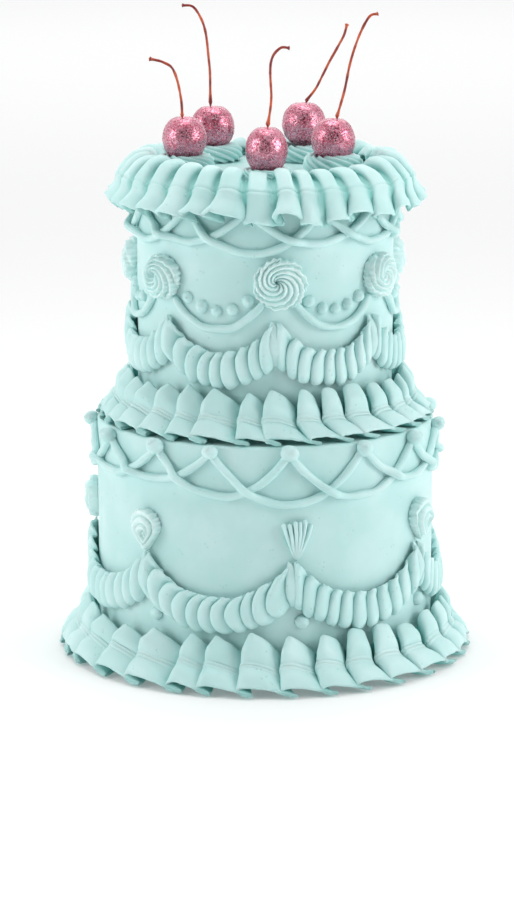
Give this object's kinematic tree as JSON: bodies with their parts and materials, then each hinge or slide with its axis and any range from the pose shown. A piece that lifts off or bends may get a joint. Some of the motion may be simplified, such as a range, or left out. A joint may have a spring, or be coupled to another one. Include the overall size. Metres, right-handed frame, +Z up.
{
  "type": "tiered buttercream cake with cherries",
  "caption": "Tiered round celebration cake in mint buttercream, with piped frills, swags, strings and rosettes, and glittered stemmed cherries on top.",
  "frame": {"origin": "centre of the lower tier's flat underside, on the surface the cake stands on", "axes": "+Z up along the tiers' axis, -Y towards the front of the cake, +X to the right seen from the front"},
  "size_m": [0.2331, 0.2333, 0.3533],
  "materials": {
    "icing": "smooth mint buttercream with a soft satin surface",
    "cherry": "dusty pink glitter over a dark red fruit",
    "stem": "thin woody fruit stalk, dark red to orange red"
  },
  "bodies": {
    "root": {"lower_tier": "icing", "upper_tier": "icing", "base_frill": "icing", "middle_frill": "icing", "top_frill": "icing", "lower_drop_strings": "icing", "upper_drop_strings": "icing", "shell_1": "icing", "shell_2": "icing", "shell_3": "icing", "shell_4": "icing", "shell_5": "icing", "shell_6": "icing", "shell_7": "icing", "lower_garland_1": "icing", "lower_garland_2": "icing", "lower_garland_3": "icing", "lower_garland_4": "icing", "lower_garland_5": "icing", "lower_garland_6": "icing", "lower_garland_7": "icing", "rosette_1": "icing", "rosette_2": "icing", "rosette_3": "icing", "rosette_4": "icing", "rosette_5": "icing", "rosette_6": "icing", "rosette_7": "icing", "bead_string_1": "icing", "bead_string_2": "icing", "bead_string_3": "icing", "bead_string_4": "icing", "bead_string_5": "icing", "bead_string_6": "icing", "bead_string_7": "icing", "upper_garland_1": "icing", "upper_garland_2": "icing", "upper_garland_3": "icing", "upper_garland_4": "icing", "upper_garland_5": "icing", "upper_garland_6": "icing", "upper_garland_7": "icing", "top_rosette_front": "icing", "top_rosette_left": "icing", "top_rosette_back_left": "icing", "top_rosette_back_right": "icing", "top_rosette_right": "icing", "cherry_front": "cherry", "cherry_left": "cherry", "cherry_back_left": "cherry", "cherry_back_right": "cherry", "cherry_right": "cherry", "stem_front": "stem", "stem_left": "stem", "stem_back_left": "stem", "stem_back_right": "stem", "stem_right": "stem"}
  },
  "joints": []
}
